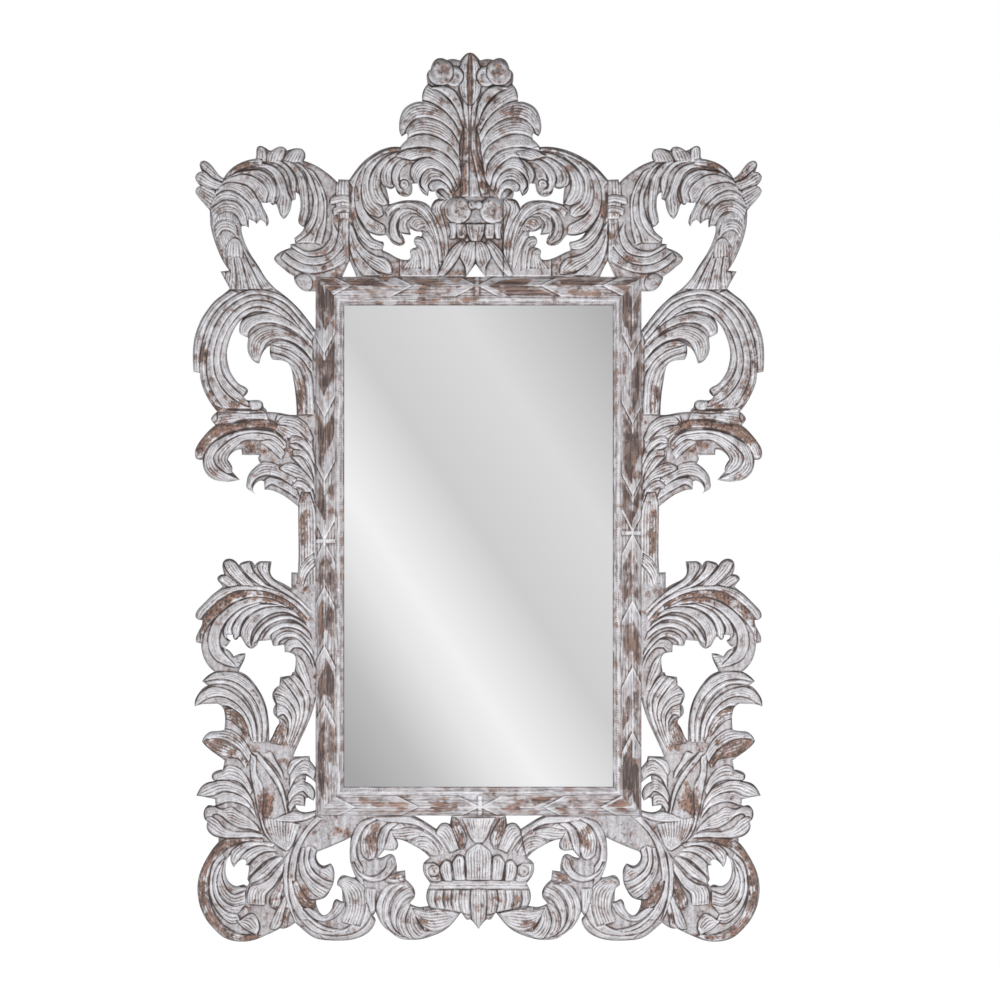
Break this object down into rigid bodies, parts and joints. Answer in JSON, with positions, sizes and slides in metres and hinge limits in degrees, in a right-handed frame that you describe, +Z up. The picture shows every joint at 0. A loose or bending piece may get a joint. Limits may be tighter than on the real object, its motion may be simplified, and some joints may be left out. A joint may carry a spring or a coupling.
{
  "type": "carved wall mirror",
  "caption": "Tall wall mirror in a ridged wooden frame, surrounded by pierced boards carved as acanthus scrolls, with a leafy crest and a shell-like apron, hung by rings at the back.",
  "frame": {"origin": "on the back plane, behind the middle of the rectangular frame", "axes": "+Z up, -Y out of the mirror's face towards the viewer, +Y towards the wall, +X to the viewer's right"},
  "size_m": [1.023, 0.054, 1.5918],
  "materials": {
    "limed_wood": "worn limewash",
    "raw_wood": "unfinished",
    "mirror": "polished",
    "steel": "zinc plated",
    "rubber": "matt"
  },
  "bodies": {
    "frame": {"apron_batten": "raw_wood", "apron_scroll_left": "limed_wood", "apron_scroll_right": "limed_wood", "apron_shell": "limed_wood", "backing_board": "raw_wood", "backing_screws": "steel", "batten_screws": "steel", "corner_batten_left": "raw_wood", "corner_batten_right": "raw_wood", "corner_scroll_left": "limed_wood", "corner_scroll_right": "limed_wood", "crest_batten_left": "raw_wood", "crest_batten_right": "raw_wood", "crest_centre": "limed_wood", "crest_scroll_left": "limed_wood", "crest_scroll_right": "limed_wood", "dowels_bottom": "raw_wood", "dowels_left": "raw_wood", "dowels_right": "raw_wood", "dowels_top": "raw_wood", "foot_batten_left": "raw_wood", "foot_batten_right": "raw_wood", "glazing_strip_bottom": "raw_wood", "glazing_strip_left": "raw_wood", "glazing_strip_right": "raw_wood", "glazing_strip_top": "raw_wood", "hanger_strap_left": "steel", "hanger_strap_right": "steel", "leaf_batten_left": "raw_wood", "leaf_batten_right": "raw_wood", "lower_leaf_left": "limed_wood", "lower_leaf_right": "limed_wood", "mirror_glass": "mirror", "plume_batten_left": "raw_wood", "plume_batten_right": "raw_wood", "plume_left": "limed_wood", "plume_right": "limed_wood", "rail_bottom": "limed_wood", "rail_top": "limed_wood", "shoulder_batten_left": "raw_wood", "shoulder_batten_right": "raw_wood", "shoulder_scroll_left": "limed_wood", "shoulder_scroll_right": "limed_wood", "side_leaf_left": "limed_wood", "side_leaf_right": "limed_wood", "side_scroll_left": "limed_wood", "side_scroll_right": "limed_wood", "side_strip_left": "limed_wood", "side_strip_right": "limed_wood", "stile_left": "limed_wood", "stile_right": "limed_wood", "strap_screws": "steel", "wall_bumper_left": "rubber", "wall_bumper_right": "rubber"},
    "ring_left": {"hanging_ring_left": "steel"},
    "ring_right": {"hanging_ring_right": "steel"}
  },
  "joints": [
    {"name": "ring_left_swing", "type": "hinge", "parent": "frame", "child": "ring_left", "pos_m": [-0.278, 0.00325, 0.3], "axis": [1, 0, 0], "range_deg": [0, 180]},
    {"name": "ring_right_swing", "type": "hinge", "parent": "frame", "child": "ring_right", "pos_m": [0.278, 0.00325, 0.3], "axis": [1, 0, 0], "range_deg": [0, 180]}
  ]
}
